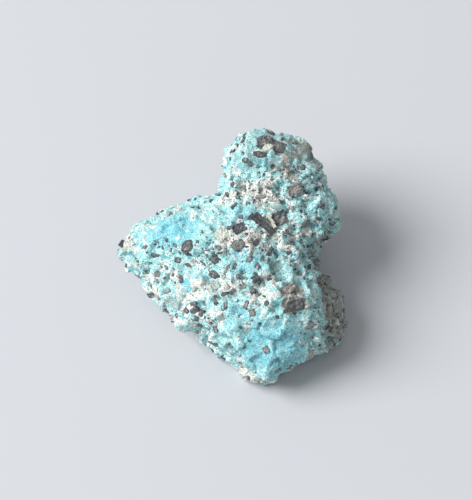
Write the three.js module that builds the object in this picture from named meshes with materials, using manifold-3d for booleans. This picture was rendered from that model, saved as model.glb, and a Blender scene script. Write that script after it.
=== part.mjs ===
// A raw turquoise nugget: one natural stone of pale blue turquoise in cream host rock, resting on a broken
// face. A domed knob stands behind a low waist, a wing runs out to a blunt point on the left, a bulge drops
// to a short tip in front, and a low shoulder of host rock spreads on the right.
// Millimetres, +Z up, +X right, +Y away from the tip. The origin is the bottom centre of the stone's box.
import * as THREE from "three";
import { ImprovedNoise } from "three/addons/math/ImprovedNoise.js";
import { mergeVertices } from "three/addons/utils/BufferGeometryUtils.js";
import Module from "manifold-3d";

// Each lobe is an ellipsoid: its centre above the resting face, its half-lengths along its own length,
// breadth and height, its turn about Z and the angle at which its length rises.
const BODY_LOBES = [
  { name: "core", centre: [1.8, -1.2, 6.6], radii: [10.0, 10.0, 7.0], turn: 0, rise: 0 },
  { name: "wing", centre: [-5.2, 4.0, 6.2], radii: [9.8, 7.4, 5.6], turn: -8, rise: 6 },
  { name: "keel", centre: [-6.2, -2.4, 4.4], radii: [6.0, 5.0, 3.6], turn: -40, rise: 0 },
  { name: "bulge", centre: [5.8, -7.8, 6.4], radii: [6.4, 5.4, 5.4], turn: 20, rise: 0 },
  { name: "base", centre: [4.0, -4.0, 2.4], radii: [9.4, 7.8, 4.6], turn: 6, rise: 0 },
  { name: "shoulder", centre: [11.4, -4.4, 3.0], radii: [4.4, 4.2, 4.4], turn: 0, rise: 0 },
  { name: "heel", centre: [2.4, -11.2, 1.8], radii: [2.2, 2.2, 2.0], turn: 0, rise: 0 },
];
const HEAD_LOBES = [
  { name: "crown", centre: [3.8, 12.0, 11.2], radii: [6.4, 6.2, 6.2], turn: 0, rise: 0 },
  { name: "cheek", centre: [8.4, 8.4, 10.0], radii: [6.6, 6.6, 6.2], turn: 0, rise: 0 },
  { name: "brow", centre: [8.4, 14.2, 12.6], radii: [2.8, 2.6, 2.8], turn: 0, rise: 0 },
  { name: "nape", centre: [4.2, 9.2, 5.0], radii: [6.4, 6.0, 5.8], turn: 0, rise: 0 },
  { name: "waist", centre: [2.4, 5.2, 8.0], radii: [7.4, 7.6, 6.2], turn: 0, rise: 0 },
];
const TIP = { name: "tip", centre: [4.8, -12.2, 4.8], radii: [1.8, 2.6, 2.4], turn: 0, rise: 0 };
const BLEND = 1.8; // how far two lobes melt into each other where they meet

// Each broken face cuts the lobes flat: a point on it, the compass bearing it looks to, measured
// anticlockwise from +X, and how far it leans up from level.
const BODY_BREAKS = [
  { name: "slope", point: [-4.0, -3.0, 9.6], bearing: 215, lean: 52 },
  { name: "undercut", point: [-5.8, -6.4, 3.0], bearing: 224, lean: -26 },
  { name: "front", point: [5.0, -13.0, 6.0], bearing: 268, lean: 34 },
  { name: "wall", point: [13.4, -4.0, 6.0], bearing: 2, lean: 16 },
  { name: "shelf", point: [-10.0, 7.8, 8.2], bearing: 125, lean: 30 },
  { name: "belly", point: [-9.0, 2.0, 1.2], bearing: 170, lean: -64 },
];
const HEAD_BREAKS = [
  { name: "flank", point: [-1.8, 12.0, 11.0], bearing: 164, lean: 4 },
  { name: "dome", point: [0.4, 16.2, 14.4], bearing: 135, lean: 27 },
  { name: "back", point: [5.6, 17.0, 14.8], bearing: 75, lean: 33 },
  { name: "corner", point: [10.5, 14.4, 13.0], bearing: 22, lean: 15 },
  { name: "side", point: [14.6, 9.0, 9.0], bearing: -6, lean: -6 },
  { name: "lid", point: [2.6, 9.0, 16.6], bearing: 235, lean: 66 },
];
const CHIP = 1.6; // how far the edge of a broken face is worn round

const SWELL = { size: 6.5, height: 0.6 }; // broad swells of the broken skin
const KNUCKLE = { size: 2.4, height: 0.45 }; // knuckles about as large as a lentil

// The skin is found along straight lines out of the stone's heart, where every part of it is in sight.
const HEART = new THREE.Vector3(2.0, 0.5, 6.4);
const SKIN_DIVISIONS = 19; // cuts along each edge of the icosahedron whose corners give the directions
const REACH = 26; // no part of the stone is further than this from the heart
const STRIDE = 0.2; // step of the first search along a line
const HALVINGS = 14; // how often the last step is halved to find the skin

const UP = new THREE.Vector3(0, 0, 1);
const noise = new ImprovedNoise();
const wasm = await Module();
wasm.setup();

function lobeOf({ centre, radii, turn, rise }) {
  const pitch = -THREE.MathUtils.degToRad(rise);
  const yaw = THREE.MathUtils.degToRad(turn);
  const place = new THREE.Matrix4().makeRotationFromEuler(new THREE.Euler(0, pitch, yaw, "ZYX"));
  return { toLobe: place.setPosition(...centre).invert(), radii: new THREE.Vector3(...radii) };
}

function breakOf({ point, bearing, lean }) {
  const outward = new THREE.Vector3(1, 0, 0).applyAxisAngle(UP, THREE.MathUtils.degToRad(bearing));
  const climb = THREE.MathUtils.degToRad(lean);
  outward.multiplyScalar(Math.cos(climb)).addScaledVector(UP, Math.sin(climb));
  return new THREE.Plane().setFromNormalAndCoplanarPoint(outward, new THREE.Vector3(...point));
}

const body = { lobes: BODY_LOBES.map(lobeOf), breaks: BODY_BREAKS.map(breakOf) };
const head = { lobes: HEAD_LOBES.map(lobeOf), breaks: HEAD_BREAKS.map(breakOf) };
const tip = lobeOf(TIP);

// About how far a point is outside one lobe, and negative inside it.
function outsideLobe(point, { toLobe, radii }) {
  const share = point.clone().applyMatrix4(toLobe).divide(radii);
  const slope = share.clone().divide(radii).length();
  return (share.length() * (share.length() - 1)) / Math.max(slope, 1e-6);
}

// Joins two solids given as distances, with a soft fillet of the given width between them.
function melted(a, b, width = BLEND) {
  const overlap = Math.max(width - Math.abs(a - b), 0) / width;
  return Math.min(a, b) - (overlap * overlap * width) / 4;
}

// Cuts a solid with a half-space, both given as distances, and wears the new edge round.
function chipped(solid, halfSpace) {
  return -melted(-solid, -halfSpace, CHIP);
}

// About how far a point is outside a block of melted lobes after its broken faces are cut.
function outsideBlock(point, { lobes, breaks }) {
  const whole = lobes.map((lobe) => outsideLobe(point, lobe)).reduce((a, b) => melted(a, b));
  return breaks.map((plane) => plane.distanceToPoint(point)).reduce(chipped, whole);
}

function roughness(point, { size, height }) {
  return height * noise.noise(point.x / size, point.y / size, point.z / size);
}

function outsideStone(point) {
  const joined = melted(outsideBlock(point, body), outsideBlock(point, head));
  const smooth = melted(joined, outsideLobe(point, tip));
  return smooth - roughness(point, SWELL) - roughness(point, KNUCKLE);
}

// The outermost point of the stone in one direction from its heart.
function skinAlong(direction) {
  const at = (distance) => HEART.clone().addScaledVector(direction, distance);
  let inner = REACH;
  while (inner > STRIDE && outsideStone(at(inner)) > 0) inner -= STRIDE;
  let outer = inner + STRIDE;
  for (let i = 0; i < HALVINGS; i++) {
    const middle = (inner + outer) / 2;
    if (outsideStone(at(middle)) > 0) outer = middle;
    else inner = middle;
  }
  return at(inner);
}

function closedSolid(geometry) {
  geometry.deleteAttribute("normal");
  geometry.deleteAttribute("uv");
  const merged = mergeVertices(geometry, 1e-4);
  return new wasm.Manifold(
    new wasm.Mesh({
      numProp: 3,
      vertProperties: merged.attributes.position.array,
      triVerts: new Uint32Array(merged.index.array),
    }),
  );
}

function wholeStone() {
  const skin = new THREE.IcosahedronGeometry(1, SKIN_DIVISIONS);
  const corners = skin.attributes.position;
  const direction = new THREE.Vector3();
  for (let i = 0; i < corners.count; i++) {
    direction.fromBufferAttribute(corners, i).normalize();
    corners.setXYZ(i, ...skinAlong(direction));
  }
  return closedSolid(skin);
}

// The half of space above the broken face that the stone rests on.
function aboveRestingFace() {
  const size = 4 * REACH;
  return closedSolid(new THREE.BoxGeometry(size, size, size).translate(0, 0, size / 2));
}

function geometryOf(solid) {
  const mesh = solid.getMesh();
  const geometry = new THREE.BufferGeometry();
  geometry.setAttribute("position", new THREE.BufferAttribute(new Float32Array(mesh.vertProperties), 3));
  geometry.setIndex(new THREE.BufferAttribute(new Uint32Array(mesh.triVerts), 1));
  geometry.computeVertexNormals();
  return geometry;
}

function nugget() {
  const geometry = geometryOf(wholeStone().intersect(aboveRestingFace()));
  geometry.computeBoundingBox();
  const centre = geometry.boundingBox.getCenter(new THREE.Vector3());
  geometry.translate(-centre.x, -centre.y, -geometry.boundingBox.min.z);
  const turquoise = new THREE.MeshStandardMaterial({ color: 0x8fd0d6, roughness: 0.85, metalness: 0 });
  const mesh = new THREE.Mesh(geometry, turquoise);
  mesh.name = "nugget";
  return mesh;
}

const part = new THREE.Group();
part.add(nugget());

export default part;
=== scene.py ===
"""The looks of a raw turquoise nugget: its broken, crumbly skin and the mineral grains set in it.

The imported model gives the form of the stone. Its skin is drawn finely over that form, chipped and
crumbled, and coloured as turquoise, cream host rock and brown-stained rock. Dark mineral grains and
pale quartz grains sit in small hollows of the skin. Places and lengths are in millimetres unless a
name says otherwise, and Blender's own objects are in metres.
"""

import logging
import math
from dataclasses import dataclass, field
from enum import Enum
from itertools import product
from typing import Any, Optional, Union

import bpy
import numpy as np
from mathutils import Euler, Matrix, Vector
from mathutils.kdtree import KDTree


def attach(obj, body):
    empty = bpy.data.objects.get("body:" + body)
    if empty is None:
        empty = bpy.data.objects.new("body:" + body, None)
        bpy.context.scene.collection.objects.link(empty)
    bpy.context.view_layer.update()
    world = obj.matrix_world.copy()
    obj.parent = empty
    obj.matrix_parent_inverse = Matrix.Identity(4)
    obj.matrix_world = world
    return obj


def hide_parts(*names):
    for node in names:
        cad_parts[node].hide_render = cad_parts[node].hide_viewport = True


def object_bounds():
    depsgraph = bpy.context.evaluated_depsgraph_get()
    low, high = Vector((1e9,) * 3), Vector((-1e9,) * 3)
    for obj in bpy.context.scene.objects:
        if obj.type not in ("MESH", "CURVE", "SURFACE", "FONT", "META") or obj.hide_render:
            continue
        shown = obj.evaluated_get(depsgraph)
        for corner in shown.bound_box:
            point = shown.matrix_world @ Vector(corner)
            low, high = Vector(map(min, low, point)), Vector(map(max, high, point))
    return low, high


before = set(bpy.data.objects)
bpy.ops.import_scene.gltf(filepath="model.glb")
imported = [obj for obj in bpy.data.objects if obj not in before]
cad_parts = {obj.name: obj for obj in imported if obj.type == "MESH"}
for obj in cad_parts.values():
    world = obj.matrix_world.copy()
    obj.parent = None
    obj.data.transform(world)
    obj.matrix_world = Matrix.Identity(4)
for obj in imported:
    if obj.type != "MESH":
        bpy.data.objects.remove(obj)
CAD_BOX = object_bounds()

MM = 0.001  # metres in a millimetre
STONE_NODE = "nugget"
BODY = "root"
SEED = 7

Triple = tuple[float, float, float]
Feed = Union["Socket", float, int, bool, str, Triple, bpy.types.Material]
Settings = dict[str, Any]
Ports = dict[Union[str, int], Feed]

log = logging.getLogger("nugget")


# ---------------------------------------------------------------------------------------------
# Node trees written as expressions
# ---------------------------------------------------------------------------------------------


class Socket:
    """A node's output, on which Python's arithmetic adds further nodes."""

    def __init__(self, graph: "Graph", port: bpy.types.NodeSocket) -> None:
        """Wraps one output of a node of a graph."""
        self.graph = graph
        self.port = port

    def __add__(self, other: Feed) -> "Socket":
        """Adds another value to this one."""
        return self.graph.arithmetic("ADD", self, other)

    def __radd__(self, other: Feed) -> "Socket":
        """Adds this value to another one."""
        return self.graph.arithmetic("ADD", other, self)

    def __sub__(self, other: Feed) -> "Socket":
        """Takes another value from this one."""
        return self.graph.arithmetic("SUBTRACT", self, other)

    def __rsub__(self, other: Feed) -> "Socket":
        """Takes this value from another one."""
        return self.graph.arithmetic("SUBTRACT", other, self)

    def __mul__(self, other: Feed) -> "Socket":
        """Multiplies this value by another one."""
        return self.graph.arithmetic("MULTIPLY", self, other)

    def __rmul__(self, other: Feed) -> "Socket":
        """Multiplies another value by this one."""
        return self.graph.arithmetic("MULTIPLY", other, self)

    def __truediv__(self, other: Feed) -> "Socket":
        """Divides this value by another one."""
        return self.graph.arithmetic("DIVIDE", self, other)

    def __pow__(self, other: Feed) -> "Socket":
        """Raises this value to a power."""
        return self.graph.arithmetic("POWER", self, other)

    def least(self, other: Feed) -> "Socket":
        """The smaller of this value and another one."""
        return self.graph.arithmetic("MINIMUM", self, other)

    def most(self, other: Feed) -> "Socket":
        """The larger of this value and another one."""
        return self.graph.arithmetic("MAXIMUM", self, other)

    def dot(self, other: Feed) -> "Socket":
        """The dot product of this vector and another one."""
        settings = {"operation": "DOT_PRODUCT"}
        return self.graph.node("ShaderNodeVectorMath", settings, {0: self, 1: other})["Value"]

    def step(self, low: Feed, high: Feed) -> "Socket":
        """Rises smoothly from 0 to 1 as this value goes from low to high.

        Args:
            low: Where the result leaves 0.
            high: Where the result reaches 1.

        Returns:
            The smooth step.
        """
        settings = {"interpolation_type": "SMOOTHSTEP", "clamp": True}
        ports = {"Value": self, "From Min": low, "From Max": high}
        return self.graph.node("ShaderNodeMapRange", settings, ports)["Result"]

    def part(self, axis: str) -> "Socket":
        """One of the parts X, Y and Z of this vector."""
        return self.graph.node("ShaderNodeSeparateXYZ", ports={0: self})[axis]


class Made:
    """A node that was just made, whose outputs are read by name or number."""

    def __init__(self, graph: "Graph", node: bpy.types.Node) -> None:
        """Wraps a node of a graph."""
        self.graph = graph
        self.node = node

    def __getitem__(self, key: Union[str, int]) -> Socket:
        """The output of that name, identifier or number."""
        return Socket(self.graph, find_port(self.node.outputs, key))


def find_port(ports: Any, key: Union[str, int]) -> bpy.types.NodeSocket:
    """Finds a socket among a node's inputs or outputs.

    Args:
        ports: The node's inputs or outputs.
        key: The socket's number, identifier or name.

    Returns:
        The socket that is in use under that key.
    """
    if isinstance(key, int):
        return ports[key]
    named = [p for p in ports if key in (p.identifier, p.name)]
    used = [p for p in named if p.enabled]
    if not used:
        raise KeyError(f"no socket {key!r} among {[p.name for p in ports]}")
    return used[0]


class Graph:
    """A node tree, built by asking for its nodes one by one."""

    def __init__(self, tree: bpy.types.NodeTree) -> None:
        """Wraps a node tree."""
        self.tree = tree

    def node(self, kind: str, settings: Optional[Settings] = None, ports: Optional[Ports] = None) -> Made:
        """Adds a node of any type.

        Args:
            kind: The node's type, such as ShaderNodeMath.
            settings: The node's own settings, which are set first; stops are a colour ramp's.
            ports: What each input holds or is linked to.

        Returns:
            The new node, whose outputs can be read.
        """
        node = self.tree.nodes.new(kind)
        for name, value in (settings or {}).items():
            if name == "stops":
                set_stops(node.color_ramp, value)
            else:
                setattr(node, name, value)
        for key, feed in (ports or {}).items():
            self.feed(find_port(node.inputs, key), feed)
        return Made(self, node)

    def feed(self, port: bpy.types.NodeSocket, feed: Feed) -> None:
        """Links a socket to an input, or sets the input's own value.

        Args:
            port: The input.
            feed: The socket that it is linked to, or the value that it gets.
        """
        if isinstance(feed, Socket):
            self.tree.links.new(feed.port, port)
        elif port.type == "VECTOR" and isinstance(feed, (int, float)):
            port.default_value = (feed,) * 3
        elif port.type == "RGBA":
            port.default_value = (*feed[:3], 1.0)
        else:
            port.default_value = feed

    def arithmetic(self, operation: str, left: Feed, right: Feed) -> Socket:
        """Adds a Math node, or a Vector Math node where either side is a vector.

        Args:
            operation: What the node does, in Blender's own word for it.
            left: The first value.
            right: The second value.

        Returns:
            The node's result.
        """
        wide = self.is_wide(left) or self.is_wide(right)
        kind = "ShaderNodeVectorMath" if wide else "ShaderNodeMath"
        return self.node(kind, {"operation": operation}, {0: left, 1: right})[0]

    @staticmethod
    def is_wide(feed: Feed) -> bool:
        """Whether a feed is a vector or a colour."""
        wide_link = isinstance(feed, Socket) and feed.port.type in ("VECTOR", "RGBA")
        return wide_link or isinstance(feed, tuple)

    def noise(self, place: Feed, size: float, detail: float = 2.0, roughness: float = 0.5) -> Socket:
        """Cloudy noise from about 0 to 1 whose lumps are about size across."""
        ports = {"Vector": place, "Scale": 1.0 / size, "Detail": detail, "Roughness": roughness}
        return self.node("ShaderNodeTexNoise", ports=ports)[0]

    def drift(self, place: Feed, size: float, reach: float) -> Socket:
        """A place moved at random, alike for neighbouring points.

        Args:
            place: Where each point is.
            size: How far apart points are that move differently.
            reach: How far a point moves at most, or nearly so.

        Returns:
            The moved place.
        """
        ports = {"Vector": place, "Scale": 1.0 / size, "Detail": 2.0}
        shift = self.node("ShaderNodeTexNoise", ports=ports)["Color"]
        return place + (shift - 0.5) * (2.0 * reach)

    def cells(self, place: Feed, size: float) -> Made:
        """Irregular cells about size across, with each point's distance to its cell's middle."""
        return self.node("ShaderNodeTexVoronoi", ports={"Vector": place, "Scale": 1.0 / size})

    def mix(self, share: Feed, first: Feed, second: Feed) -> Socket:
        """A colour that goes from first to second as share goes from 0 to 1."""
        ports = {"Factor_Float": share, "A_Color": first, "B_Color": second}
        return self.node("ShaderNodeMix", {"data_type": "RGBA"}, ports)["Result_Color"]

    def ramp(self, share: Feed, stops: list[tuple[float, Triple]]) -> Socket:
        """A colour read off a ramp."""
        return self.node("ShaderNodeValToRGB", {"stops": stops}, {0: share})["Color"]


def set_stops(ramp: bpy.types.ColorRamp, stops: list[tuple[float, Triple]]) -> None:
    """Gives a colour ramp its stops.

    Args:
        ramp: The ramp.
        stops: The position and the colour of each stop, in order of their position.
    """
    while len(ramp.elements) > 1:
        ramp.elements.remove(ramp.elements[-1])
    ramp.elements[0].position = stops[0][0]
    ramp.elements[0].color = (*stops[0][1], 1.0)
    for position, colour in stops[1:]:
        ramp.elements.new(position).color = (*colour, 1.0)


class Shader(Graph):
    """A material's nodes, which end in one Principled shader."""

    def __init__(self, name: str) -> None:
        """Makes an empty material.

        Args:
            name: What the material is called.
        """
        self.material = bpy.data.materials.new(name)
        self.material.use_nodes = True
        super().__init__(self.material.node_tree)
        self.tree.nodes.clear()

    def stored(self, name: str, output: str = "Fac") -> Socket:
        """A number or vector that the mesh stores under that name."""
        settings = {"attribute_type": "GEOMETRY", "attribute_name": name}
        return self.node("ShaderNodeAttribute", settings)[output]

    def bumped(self, height: Feed, strength: float, depth: float) -> Socket:
        """Normals tilted by a height field from 0 to 1 that is depth millimetres deep."""
        ports = {"Strength": strength, "Distance": depth * MM, "Height": height}
        return self.node("ShaderNodeBump", ports=ports)["Normal"]

    def finish(self, ports: Ports) -> bpy.types.Material:
        """Adds the Principled shader and the output.

        Args:
            ports: What each input of the Principled shader holds or is linked to.

        Returns:
            The finished material.
        """
        shader = self.node("ShaderNodeBsdfPrincipled", ports=ports)
        self.node("ShaderNodeOutputMaterial", ports={"Surface": shader["BSDF"]})
        return self.material


SOCKET_TYPES = {float: "NodeSocketFloat", int: "NodeSocketInt", bpy.types.Material: "NodeSocketMaterial"}


class GeometryTree(Graph):
    """A Geometry Nodes tree with named inputs, run once on an object to give a plain mesh."""

    def __init__(self, name: str, inputs: dict[str, Union[float, int, bpy.types.Material]]) -> None:
        """Makes a tree with a geometry input and one named input for each value.

        Args:
            name: What the tree is called.
            inputs: The value of each further input, by name.
        """
        super().__init__(bpy.data.node_groups.new(name, "GeometryNodeTree"))
        self.values = inputs
        face = self.tree.interface
        face.new_socket("Geometry", in_out="OUTPUT", socket_type="NodeSocketGeometry")
        face.new_socket("Geometry", in_out="INPUT", socket_type="NodeSocketGeometry")
        for label, value in inputs.items():
            face.new_socket(label, in_out="INPUT", socket_type=SOCKET_TYPES[type(value)])
        self.inputs = self.node("NodeGroupInput")

    def stored(self, name: str, data_type: str = "FLOAT") -> Socket:
        """What the geometry stores under a name."""
        return self.node("GeometryNodeInputNamedAttribute", {"data_type": data_type}, {"Name": name})[0]

    def store(self, geometry: Socket, name: str, value: Feed, domain: str = "POINT") -> Socket:
        """Stores a number at each point or face of a geometry.

        Args:
            geometry: The geometry.
            name: The name to store it under.
            value: The number.
            domain: POINT or FACE.

        Returns:
            The geometry that stores it.
        """
        settings = {"data_type": "FLOAT", "domain": domain}
        ports = {"Geometry": geometry, "Name": name, "Value": value}
        return self.node("GeometryNodeStoreNamedAttribute", settings, ports)[0]

    def moved(self, geometry: Socket, offset: Feed) -> Socket:
        """Moves each point of a geometry by an offset in metres."""
        return self.node("GeometryNodeSetPosition", ports={"Geometry": geometry, "Offset": offset})[0]

    def close(self, geometry: Socket) -> None:
        """Ends the tree: instances become real, and the mesh wears the input named Material.

        Args:
            geometry: What the tree has made.
        """
        real = self.node("GeometryNodeRealizeInstances", ports={"Geometry": geometry})[0]
        ports = {"Geometry": real, "Material": self.inputs["Material"]}
        dressed = self.node("GeometryNodeSetMaterial", ports=ports)[0]
        self.node("NodeGroupOutput", ports={"Geometry": dressed})

    def grow(self, host: bpy.types.Object) -> bpy.types.Mesh:
        """Runs the tree on an object.

        Args:
            host: The object that the tree starts from. It is left as it was.

        Returns:
            The result as a plain mesh.
        """
        modifier = host.modifiers.new(self.tree.name, "NODES")
        modifier.node_group = self.tree
        for item in self.tree.interface.items_tree:
            if item.in_out == "INPUT" and item.name in self.values:
                modifier[item.identifier] = self.values[item.name]
        mesh = settled_mesh(host)
        host.modifiers.remove(modifier)
        return mesh


def settled_mesh(owner: bpy.types.Object) -> bpy.types.Mesh:
    """A plain copy of an object's mesh with its modifiers applied.

    Args:
        owner: The object.

    Returns:
        The copy.
    """
    depsgraph = bpy.context.evaluated_depsgraph_get()
    evaluated = owner.evaluated_get(depsgraph)
    return bpy.data.meshes.new_from_object(evaluated, preserve_all_data_layers=True, depsgraph=depsgraph)


def linked(name: str, mesh: bpy.types.Mesh) -> bpy.types.Object:
    """Puts a mesh in the scene as an object at the origin.

    Args:
        name: The object's name.
        mesh: Its mesh.

    Returns:
        The object.
    """
    made = bpy.data.objects.new(name, mesh)
    bpy.context.scene.collection.objects.link(made)
    return made


def places_of(mesh: bpy.types.Mesh) -> np.ndarray:
    """Where every vertex of a mesh is.

    Args:
        mesh: The mesh.

    Returns:
        A row for each vertex, in millimetres.
    """
    flat = np.empty(len(mesh.vertices) * 3, np.float32)
    mesh.vertices.foreach_get("co", flat)
    return flat.reshape(-1, 3).astype(float) / MM


def facings_of(mesh: bpy.types.Mesh) -> np.ndarray:
    """Which way is outwards at every vertex of a mesh.

    Args:
        mesh: The mesh.

    Returns:
        A row of length 1 for each vertex.
    """
    flat = np.empty(len(mesh.vertices) * 3, np.float32)
    mesh.vertex_normals.foreach_get("vector", flat)
    return flat.reshape(-1, 3).astype(float)


def set_places(mesh: bpy.types.Mesh, places: np.ndarray) -> None:
    """Moves every vertex of a mesh to its place in millimetres."""
    mesh.vertices.foreach_set("co", (places * MM).astype(np.float32).ravel())
    mesh.update()


def store_numbers(mesh: bpy.types.Mesh, name: str, numbers: np.ndarray) -> None:
    """Stores a number, a whole number or a vector at each vertex of a mesh.

    Args:
        mesh: The mesh.
        name: The name to store them under.
        numbers: A number or a row of three for each vertex.
    """
    if numbers.ndim == 2:
        kind, key = "FLOAT_VECTOR", "vector"
    elif numbers.dtype.kind == "i":
        kind, key = "INT", "value"
    else:
        kind, key = "FLOAT", "value"
    layer = mesh.attributes.new(name, kind, "POINT")
    wanted = np.int32 if kind == "INT" else np.float32
    layer.data.foreach_set(key, numbers.astype(wanted).ravel())


def read_numbers(mesh: bpy.types.Mesh, name: str) -> np.ndarray:
    """The number that each vertex of a mesh stores under a name.

    Args:
        mesh: The mesh.
        name: The name.

    Returns:
        A number for each vertex.
    """
    found = np.empty(len(mesh.vertices), np.float32)
    mesh.attributes[name].data.foreach_get("value", found)
    return found.astype(float)


def smoothstep(low: float, high: float, value: np.ndarray) -> np.ndarray:
    """Rises smoothly from 0 to 1 as a value goes from low to high."""
    share = np.clip((value - low) / (high - low), 0.0, 1.0)
    return share * share * (3.0 - 2.0 * share)


# ---------------------------------------------------------------------------------------------
# Where the stone is what
# ---------------------------------------------------------------------------------------------


class Ground(Enum):
    """What a patch of the stone's skin is, or is rich in. The value is the name it is stored under."""

    HOST = "host"  # cream host rock
    STAIN = "stain"  # host rock stained brown and grey-green
    CLEAN = "clean"  # even, saturated turquoise with hardly a grain in it
    PEPPER = "pepper"  # crowded with the finest dark grains
    GRAINY = "grainy"  # set with larger dark grains


@dataclass(frozen=True)
class Patch:
    """A soft-edged ellipsoid of one ground, where the skin that it holds is of that ground."""

    ground: Ground
    at: Triple
    reach: Triple
    weight: float = 1.0

    def field(self, places: np.ndarray) -> np.ndarray:
        """How far each place is of this ground, from 0 to the patch's weight."""
        away = np.linalg.norm((places - self.at) / self.reach, axis=1)
        return self.weight * (1.0 - smoothstep(0.55, 1.3, away))


PATCHES = (
    Patch(Ground.HOST, (0.6, 5.4, 14.4), (3.4, 1.5, 2.4)),
    Patch(Ground.HOST, (4.6, 4.8, 15.2), (3.0, 1.7, 2.0), 0.8),
    Patch(Ground.PEPPER, (3.4, 5.4, 15.2), (5.0, 2.2, 2.2)),
    Patch(Ground.PEPPER, (8.6, 5.6, 15.4), (3.6, 4.0, 2.4), 0.7),
    Patch(Ground.HOST, (1.4, -0.8, 13.4), (3.4, 1.8, 1.8), 0.9),
    Patch(Ground.HOST, (6.8, -0.6, 12.6), (3.2, 2.2, 2.0), 0.8),
    Patch(Ground.PEPPER, (4.0, -0.6, 12.8), (6.4, 2.6, 2.6), 0.9),
    Patch(Ground.HOST, (-4.0, -6.4, 9.0), (3.8, 1.6, 2.2), 0.85),
    Patch(Ground.HOST, (-6.6, -4.4, 7.6), (6.4, 4.4, 3.6), 0.6),
    Patch(Ground.HOST, (3.8, -8.2, 12.0), (2.0, 3.0, 1.8), 0.9),
    Patch(Ground.HOST, (-0.2, -6.2, 11.4), (2.2, 1.6, 1.8), 0.7),
    Patch(Ground.HOST, (-13.6, 3.0, 6.4), (1.3, 1.6, 1.6), 1.2),
    Patch(Ground.PEPPER, (-3.4, -2.4, 10.9), (2.4, 1.4, 1.6), 1.0),
    Patch(Ground.HOST, (-7.6, -8.0, 3.0), (5.6, 3.6, 2.4), 1.15),
    Patch(Ground.HOST, (1.4, -14.6, 2.4), (2.4, 2.6, 2.4), 1.2),
    Patch(Ground.STAIN, (7.4, 8.4, 16.2), (1.7, 3.8, 2.0), 0.95),
    Patch(Ground.STAIN, (9.6, 11.8, 15.0), (2.0, 3.0, 2.6), 0.9),
    Patch(Ground.STAIN, (5.2, 11.8, 17.4), (2.2, 1.6, 1.4), 0.9),
    Patch(Ground.STAIN, (7.6, -9.0, 11.6), (2.2, 2.8, 2.0), 1.1),
    Patch(Ground.STAIN, (13.1, -4.4, 5.0), (3.6, 7.4, 6.6), 1.25),
    # Painted shade: grey-green stain laid along the knob's right flank, which turns away from the light.
    Patch(Ground.STAIN, (13.4, 8.6, 11.4), (1.8, 4.6, 4.0), 0.5),
    Patch(Ground.STAIN, (11.4, 0.6, 8.6), (2.6, 3.4, 3.6), 0.9),
    Patch(Ground.STAIN, (5.0, 1.4, 13.6), (2.4, 1.4, 1.2), 0.6),
    # Partly real stain and partly painted shade, darkening the floor of the deep hollow.
    Patch(Ground.STAIN, (5.5, -4.3, 12.2), (1.0, 1.0, 1.0), 0.6),
    Patch(Ground.GRAINY, (-9.4, -1.6, 8.0), (5.6, 3.6, 3.4), 1.5),
    Patch(Ground.GRAINY, (-1.6, -2.6, 12.0), (3.6, 3.6, 2.4)),
    Patch(Ground.GRAINY, (3.2, -7.2, 12.0), (3.2, 3.4, 2.0), 0.9),
    Patch(Ground.GRAINY, (-4.4, -9.6, 6.4), (5.6, 2.6, 3.6), 0.9),
    Patch(Ground.GRAINY, (3.4, 8.6, 16.8), (4.6, 4.0, 2.4), 0.5),
    Patch(Ground.CLEAN, (-7.4, 2.6, 9.9), (4.6, 2.6, 2.4)),
    Patch(Ground.CLEAN, (5.0, -13.6, 7.4), (4.6, 3.0, 4.4), 0.95),
    Patch(Ground.CLEAN, (0.8, -10.1, 10.4), (1.1, 1.1, 1.1), 0.7),
    Patch(Ground.CLEAN, (0.4, -10.4, 10.2), (2.4, 2.2, 2.0), 0.45),
    Patch(Ground.CLEAN, (1.8, -4.6, 12.9), (2.2, 1.6, 1.4), 0.7),
    Patch(Ground.CLEAN, (0.6, 2.8, 13.6), (2.6, 1.4, 1.4), 0.5),
    Patch(Ground.CLEAN, (-6.2, -4.8, 8.6), (1.4, 1.0, 1.0), 1.2),
    Patch(Ground.CLEAN, (-7.5, -6.4, 6.8), (1.4, 1.0, 1.0), 0.8),
)


@dataclass(frozen=True)
class Hollow:
    """A round hollow that something fell out of, at a place on the skin."""

    at: Triple
    radius: float
    depth: float

    def sink(self, places: np.ndarray) -> np.ndarray:
        """How deep the skin lies below its old level at each place."""
        away = np.linalg.norm(places - self.at, axis=1) / self.radius
        return self.depth * (1.0 - smoothstep(0.55, 1.0, away))


@dataclass(frozen=True)
class Swell:
    """A broad rise of the stone's form, or a dent where the rise is below nought."""

    at: Triple
    reach: float
    rise: float

    def lift(self, places: np.ndarray) -> np.ndarray:
        """How far the form rises at each place."""
        away = np.linalg.norm(places - self.at, axis=1) / self.reach
        return self.rise * (1.0 - smoothstep(0.0, 1.0, away))


SWELLS = (
    Swell((4.2, 15.2, 16.0), 2.6, 0.5),
    Swell((-12.4, 6.6, 6.0), 3.4, 0.6),
    Swell((-9.6, -6.4, 2.6), 3.6, 0.6),
    Swell((-8.0, -8.4, 2.4), 3.0, 0.7),
    Swell((-6.2, 7.6, 10.5), 3.0, -1.1),
    Swell((-9.2, 6.4, 9.6), 3.0, -1.0),
    Swell((-3.2, 9.4, 12.4), 2.0, 0.4),
    Swell((-1.7, 11.2, 13.6), 1.0, -0.55),
    Swell((-1.2, 12.4, 13.4), 2.4, 0.3),
    Swell((5.8, -16.1, 4.8), 2.4, -0.5),
    Swell((6.3, 13.2, 17.0), 3.0, -0.4),
    Swell((-6.6, -8.4, 4.8), 2.8, 0.7),
    Swell((-11.8, -0.6, 3.2), 3.6, 0.2),
    Swell((-14.4, 2.8, 5.4), 2.4, 0.4),
    Swell((13.4, 5.6, 5.2), 2.4, 0.4),
    Swell((10.6, 1.4, 8.0), 3.4, -1.1),
    Swell((12.6, -3.6, 8.2), 3.2, -1.1),
    Swell((-4.1, -10.0, 3.2), 3.0, -0.5),
    Swell((-1.5, -12.0, 2.4), 2.6, -0.5),
    Swell((2.2, -14.2, 5.4), 2.4, 0.5),
    Swell((6.8, -14.6, 3.4), 2.0, -0.6),
)

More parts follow.
